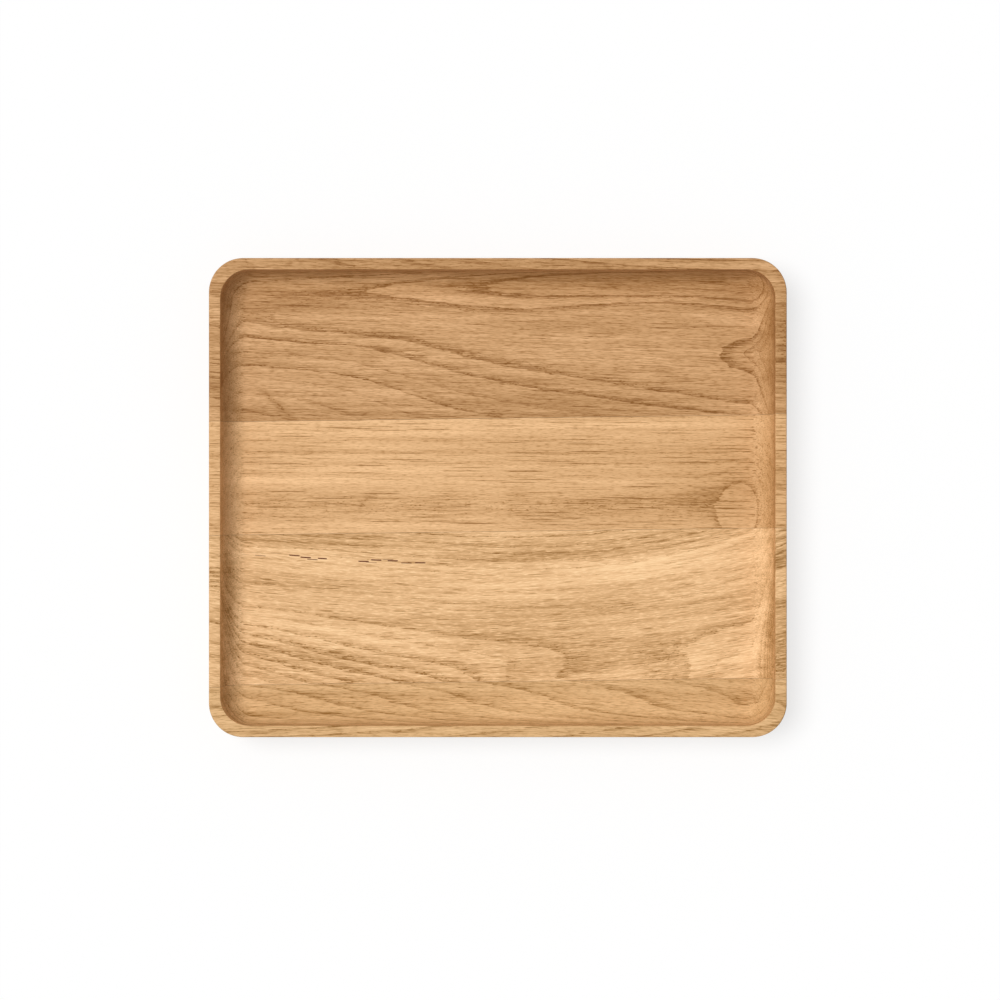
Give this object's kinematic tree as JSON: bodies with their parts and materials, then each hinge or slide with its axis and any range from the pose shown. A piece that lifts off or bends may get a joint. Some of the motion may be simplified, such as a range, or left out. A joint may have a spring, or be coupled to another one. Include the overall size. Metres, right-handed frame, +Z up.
{
  "type": "catchall tray",
  "caption": "Low rounded-rectangle oak tray, glued up from staves and routed with one coved pocket, on small stick-on pads.",
  "frame": {"origin": "on the table, under the middle of the tray", "axes": "+X along the grain and the long side, +Y towards the rear edge, +Z up out of the pocket"},
  "size_m": [0.24, 0.199, 0.0215],
  "materials": {
    "oak_dark": "oiled oak, matt, open pores, the brownest stave",
    "oak_warm": "oiled oak, matt, open pores",
    "oak_pale": "oiled oak, matt, open pores, the palest stave",
    "dried_glue": "dried wood glue film, sanded flush",
    "silicone": "matt grey silicone"
  },
  "bodies": {
    "root": {"stave_rear": "oak_dark", "stave_centre_rear": "oak_warm", "stave_centre_front": "oak_pale", "stave_front": "oak_warm", "glue_line_rear": "dried_glue", "glue_line_centre": "dried_glue", "glue_line_front": "dried_glue", "pad_rear_left": "silicone", "pad_rear_right": "silicone", "pad_front_left": "silicone", "pad_front_right": "silicone"}
  },
  "joints": []
}
